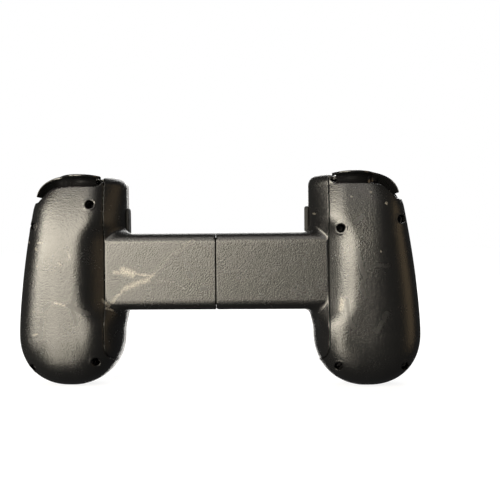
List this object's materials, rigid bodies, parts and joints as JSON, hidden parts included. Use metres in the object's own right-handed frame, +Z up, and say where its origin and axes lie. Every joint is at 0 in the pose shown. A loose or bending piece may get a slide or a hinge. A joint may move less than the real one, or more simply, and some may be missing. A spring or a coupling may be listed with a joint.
{
  "type": "mobile game controller",
  "caption": "Telescopic game controller: grips with thumbsticks, buttons and triggers on a sprung sliding bridge that clamps a phone and plugs into it.",
  "frame": {"origin": "centre of the box around the controller with its bridge closed and every control at rest", "axes": "+X across the controller to the left hand's half, +Y from the backs of the grips to the front face that the player sees, +Z up to the triggers"},
  "size_m": [0.176, 0.034, 0.0924],
  "materials": {
    "shell_plastic": "satin, fine moulded grain",
    "trigger_gloss": "polished gloss",
    "rubber": "matt",
    "inner_plastic": "plain moulded",
    "silicone": "smooth, slightly translucent",
    "board": "solder mask",
    "film": "thin film",
    "dark_steel": "black coated steel",
    "bright_steel": "bright drawn or stamped steel"
  },
  "bodies": {
    "right_half": {"right_grip_back": "shell_plastic", "right_bridge_frame": "shell_plastic", "right_front_shell": "shell_plastic", "right_bridge_cover": "shell_plastic", "right_phone_pad": "rubber", "right_screws": "dark_steel", "right_board": "board", "right_shoulder_bracket": "inner_plastic", "right_trigger_pin": "bright_steel", "right_trigger_spring": "bright_steel", "right_bumper_pin": "bright_steel", "right_stick_housing": "dark_steel", "face_button_membrane": "silicone", "phone_plug": "bright_steel", "plug_carrier": "inner_plastic", "charge_port": "bright_steel"},
    "left_half": {"left_grip_back": "shell_plastic", "left_bridge_frame": "shell_plastic", "left_front_shell": "shell_plastic", "left_bridge_cover": "shell_plastic", "left_phone_pad": "rubber", "left_screws": "dark_steel", "left_board": "board", "left_shoulder_bracket": "inner_plastic", "left_trigger_pin": "bright_steel", "left_trigger_spring": "bright_steel", "left_bumper_pin": "bright_steel", "left_stick_housing": "dark_steel", "dpad_membrane": "silicone", "headphone_jack": "inner_plastic"},
    "slider": {"bridge_slider": "inner_plastic", "slider_cover": "dark_steel", "right_return_spring": "bright_steel", "left_return_spring": "bright_steel", "flex_cable": "film"},
    "right_trigger": {"right_trigger": "trigger_gloss"},
    "right_bumper": {"right_bumper": "shell_plastic"},
    "right_stick_yoke": {"right_stick_yoke": "bright_steel"},
    "right_stick_pivot": {"right_stick_pivot": "bright_steel"},
    "right_stick": {"right_stick_shaft": "bright_steel", "right_stick_cap": "rubber"},
    "left_trigger": {"left_trigger": "trigger_gloss"},
    "left_bumper": {"left_bumper": "shell_plastic"},
    "left_stick_yoke": {"left_stick_yoke": "bright_steel"},
    "left_stick_pivot": {"left_stick_pivot": "bright_steel"},
    "left_stick": {"left_stick_shaft": "bright_steel", "left_stick_cap": "rubber"},
    "face_button_top": {"face_button_top": "shell_plastic"},
    "face_button_bottom": {"face_button_bottom": "shell_plastic"},
    "face_button_inner": {"face_button_inner": "shell_plastic"},
    "face_button_outer": {"face_button_outer": "shell_plastic"},
    "menu_button": {"menu_button": "shell_plastic"},
    "home_button": {"home_button": "shell_plastic"},
    "options_button": {"options_button": "shell_plastic"},
    "capture_button": {"capture_button": "shell_plastic"},
    "dpad_pivot": {"dpad_pivot": "bright_steel"},
    "dpad": {"dpad": "shell_plastic"}
  },
  "joints": [
    {"name": "bridge_slide", "type": "slide", "parent": "right_half", "child": "left_half", "axis": [1, 0, 0], "range_m": [0, 0.09], "stiffness_N_per_m": 60, "springref_m": -0.08, "deforming": ["flex_cable"]},
    {"name": "slider_follow", "type": "slide", "parent": "right_half", "child": "slider", "axis": [1, 0, 0], "range_m": [0, 0.045], "deforming": ["right_return_spring", "left_return_spring"]},
    {"name": "right_trigger_pull", "type": "hinge", "parent": "right_half", "child": "right_trigger", "pos_m": [-0.061, -0.0025, 0.0404], "axis": [1, 0, 0], "range_deg": [0, 11], "stiffness_Nm_per_rad": 0.18, "springref_deg": -2.86, "deforming": ["right_trigger_spring"]},
    {"name": "right_bumper_press", "type": "hinge", "parent": "right_half", "child": "right_bumper", "pos_m": [-0.0526, 0.004, 0.039], "axis": [0, -1, 0], "range_deg": [0, 2.5], "stiffness_Nm_per_rad": 0.25, "springref_deg": -1.15},
    {"name": "right_stick_up_down", "type": "hinge", "parent": "right_half", "child": "right_stick_yoke", "pos_m": [-0.063, 0.003, -0.0142], "axis": [1, 0, 0], "range_deg": [-14, 14], "stiffness_Nm_per_rad": 0.03},
    {"name": "right_stick_sideways", "type": "hinge", "parent": "right_stick_yoke", "child": "right_stick_pivot", "pos_m": [-0.063, 0.003, -0.0142], "axis": [0, 0, 1], "range_deg": [-14, 14], "stiffness_Nm_per_rad": 0.03},
    {"name": "right_stick_press", "type": "slide", "parent": "right_stick_pivot", "child": "right_stick", "axis": [0, -1, 0], "range_m": [0, 0.0006], "stiffness_N_per_m": 3000, "springref_m": -0.0003},
    {"name": "left_trigger_pull", "type": "hinge", "parent": "left_half", "child": "left_trigger", "pos_m": [0.061, -0.0025, 0.0404], "axis": [1, 0, 0], "range_deg": [0, 11], "stiffness_Nm_per_rad": 0.18, "springref_deg": -2.86, "deforming": ["left_trigger_spring"]},
    {"name": "left_bumper_press", "type": "hinge", "parent": "left_half", "child": "left_bumper", "pos_m": [0.0526, 0.004, 0.039], "axis": [0, 1, 0], "range_deg": [0, 2.5], "stiffness_Nm_per_rad": 0.25, "springref_deg": -1.15},
    {"name": "left_stick_up_down", "type": "hinge", "parent": "left_half", "child": "left_stick_yoke", "pos_m": [0.066, 0.003, 0.0158], "axis": [1, 0, 0], "range_deg": [-14, 14], "stiffness_Nm_per_rad": 0.03},
    {"name": "left_stick_sideways", "type": "hinge", "parent": "left_stick_yoke", "child": "left_stick_pivot", "pos_m": [0.066, 0.003, 0.0158], "axis": [0, 0, 1], "range_deg": [-14, 14], "stiffness_Nm_per_rad": 0.03},
    {"name": "left_stick_press", "type": "slide", "parent": "left_stick_pivot", "child": "left_stick", "axis": [0, -1, 0], "range_m": [0, 0.0006], "stiffness_N_per_m": 3000, "springref_m": -0.0003},
    {"name": "face_button_top_press", "type": "slide", "parent": "right_half", "child": "face_button_top", "axis": [0, -1, 0], "range_m": [0, 0.0012], "stiffness_N_per_m": 400, "springref_m": -0.0003},
    {"name": "face_button_bottom_press", "type": "slide", "parent": "right_half", "child": "face_button_bottom", "axis": [0, -1, 0], "range_m": [0, 0.0012], "stiffness_N_per_m": 400, "springref_m": -0.0003},
    {"name": "face_button_inner_press", "type": "slide", "parent": "right_half", "child": "face_button_inner", "axis": [0, -1, 0], "range_m": [0, 0.0012], "stiffness_N_per_m": 400, "springref_m": -0.0003},
    {"name": "face_button_outer_press", "type": "slide", "parent": "right_half", "child": "face_button_outer", "axis": [0, -1, 0], "range_m": [0, 0.0012], "stiffness_N_per_m": 400, "springref_m": -0.0003},
    {"name": "menu_button_press", "type": "slide", "parent": "right_half", "child": "menu_button", "axis": [0, -1, 0], "range_m": [0, 0.0006], "stiffness_N_per_m": 1200, "springref_m": -0.0002},
    {"name": "home_button_press", "type": "slide", "parent": "right_half", "child": "home_button", "axis": [0, -1, 0], "range_m": [0, 0.0006], "stiffness_N_per_m": 1200, "springref_m": -0.0002},
    {"name": "options_button_press", "type": "slide", "parent": "left_half", "child": "options_button", "axis": [0, -1, 0], "range_m": [0, 0.0006], "stiffness_N_per_m": 1200, "springref_m": -0.0002},
    {"name": "capture_button_press", "type": "slide", "parent": "left_half", "child": "capture_button", "axis": [0, -1, 0], "range_m": [0, 0.0006], "stiffness_N_per_m": 1200, "springref_m": -0.0002},
    {"name": "dpad_up_down", "type": "hinge", "parent": "left_half", "child": "dpad_pivot", "pos_m": [0.063, 0.0042, -0.0142], "axis": [1, 0, 0], "range_deg": [-4.5, 4.5], "stiffness_Nm_per_rad": 0.06},
    {"name": "dpad_sideways", "type": "hinge", "parent": "dpad_pivot", "child": "dpad", "pos_m": [0.063, 0.0042, -0.0142], "axis": [0, 0, 1], "range_deg": [-4.5, 4.5], "stiffness_Nm_per_rad": 0.06}
  ],
  "couplings": [
    {"joint": "slider_follow", "follows": "bridge_slide", "ratio": 0.5}
  ]
}
